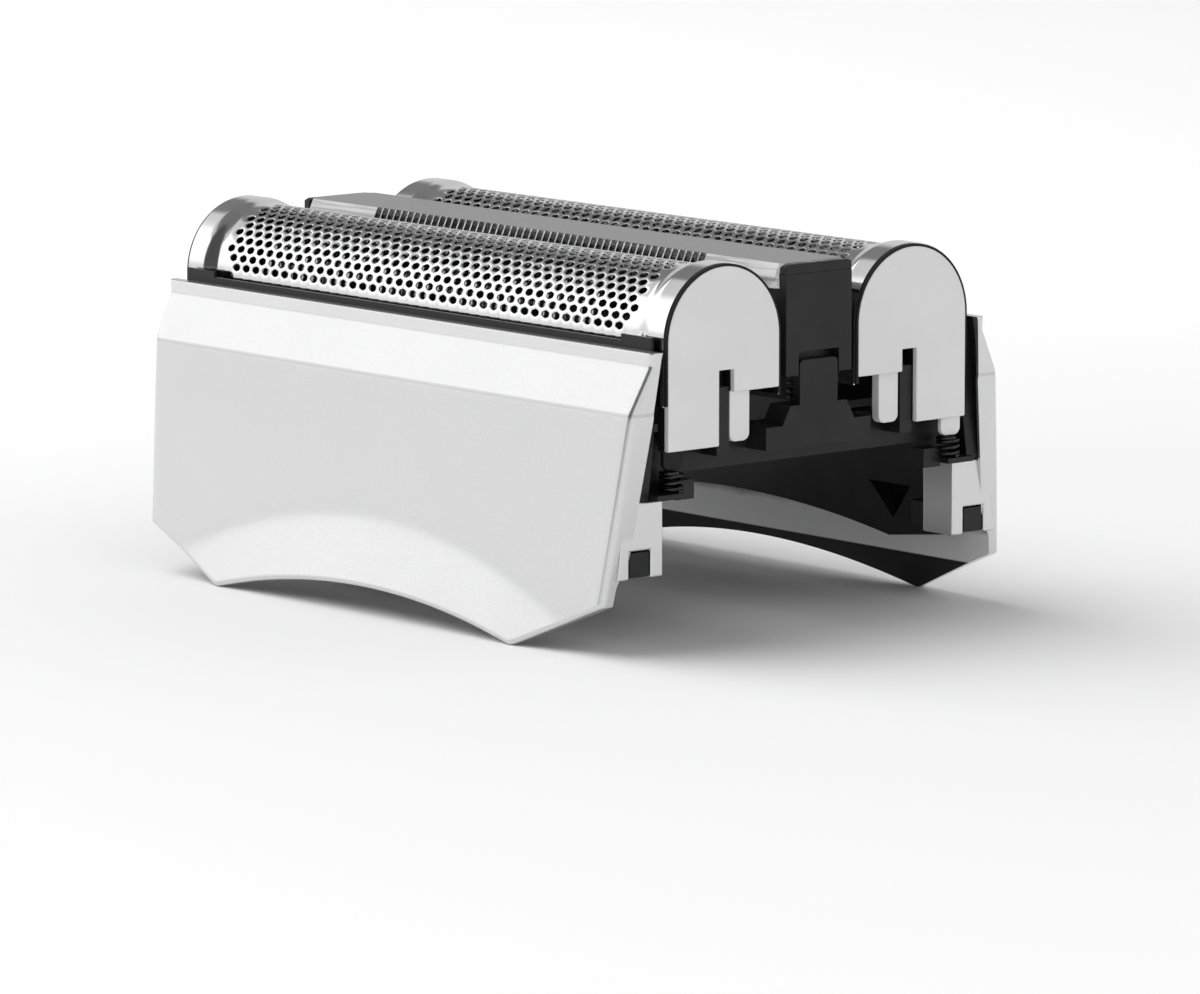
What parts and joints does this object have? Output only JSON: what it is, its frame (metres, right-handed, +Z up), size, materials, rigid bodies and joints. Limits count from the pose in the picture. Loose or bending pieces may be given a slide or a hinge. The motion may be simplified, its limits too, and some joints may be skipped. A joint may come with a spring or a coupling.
{
  "type": "shaver foil head",
  "caption": "Clip-on head of a foil shaver: perforated arched foils over oscillating cutters, a slotted middle trimmer, a dark sprung chassis and silver side covers.",
  "frame": {"origin": "bottom centre of the head, on the surface that its covers stand on", "axes": "+X along the foils, +Y from the front foil to the rear foil, +Z up through the foils"},
  "size_m": [0.0444, 0.0322, 0.0219],
  "materials": {
    "cover_silver": "satin silver paint on moulded plastic",
    "chassis_black": "fine matte",
    "foil_steel": "bright, perforated",
    "cap_grey": "fine matte",
    "spring_steel": "drawn wire",
    "carrier_black": "fine matte",
    "blade_steel": "ground",
    "comb_steel": "satin, ground edges"
  },
  "bodies": {
    "frame": {"front_cover": "cover_silver", "rear_cover": "cover_silver", "chassis": "chassis_black", "front_spring_left": "spring_steel", "front_spring_right": "spring_steel", "rear_spring_left": "spring_steel", "rear_spring_right": "spring_steel", "trimmer_spring_left": "spring_steel", "trimmer_spring_right": "spring_steel"},
    "front_foil": {"front_foil": "foil_steel", "front_cap_left": "cap_grey", "front_cap_right": "cap_grey"},
    "rear_foil": {"rear_foil": "foil_steel", "rear_cap_left": "cap_grey", "rear_cap_right": "cap_grey"},
    "front_cutter": {"front_cutter_carrier": "carrier_black", "front_cutter_blades": "blade_steel"},
    "rear_cutter": {"rear_cutter_carrier": "carrier_black", "rear_cutter_blades": "blade_steel"},
    "trimmer": {"trimmer_comb": "comb_steel", "trimmer_carrier": "carrier_black"},
    "trimmer_blade": {"trimmer_blade": "blade_steel"}
  },
  "joints": [
    {"name": "front_foil_float", "type": "slide", "parent": "frame", "child": "front_foil", "axis": [0, 0, 1], "range_m": [-0.0009, 0], "stiffness_N_per_m": 300, "springref_m": 0.002, "deforming": ["front_spring_left", "front_spring_right"]},
    {"name": "rear_foil_float", "type": "slide", "parent": "frame", "child": "rear_foil", "axis": [0, 0, 1], "range_m": [-0.0009, 0], "stiffness_N_per_m": 300, "springref_m": 0.002, "deforming": ["rear_spring_left", "rear_spring_right"]},
    {"name": "trimmer_float", "type": "slide", "parent": "frame", "child": "trimmer", "axis": [0, 0, 1], "range_m": [-0.0004, 0], "stiffness_N_per_m": 300, "springref_m": 0.002, "deforming": ["trimmer_spring_left", "trimmer_spring_right"]},
    {"name": "front_cutter_slide", "type": "slide", "parent": "front_foil", "child": "front_cutter", "axis": [1, 0, 0], "range_m": [-0.001, 0.001]},
    {"name": "rear_cutter_slide", "type": "slide", "parent": "rear_foil", "child": "rear_cutter", "axis": [1, 0, 0], "range_m": [-0.001, 0.001]},
    {"name": "trimmer_blade_slide", "type": "slide", "parent": "trimmer", "child": "trimmer_blade", "axis": [1, 0, 0], "range_m": [-0.001, 0.001]}
  ]
}
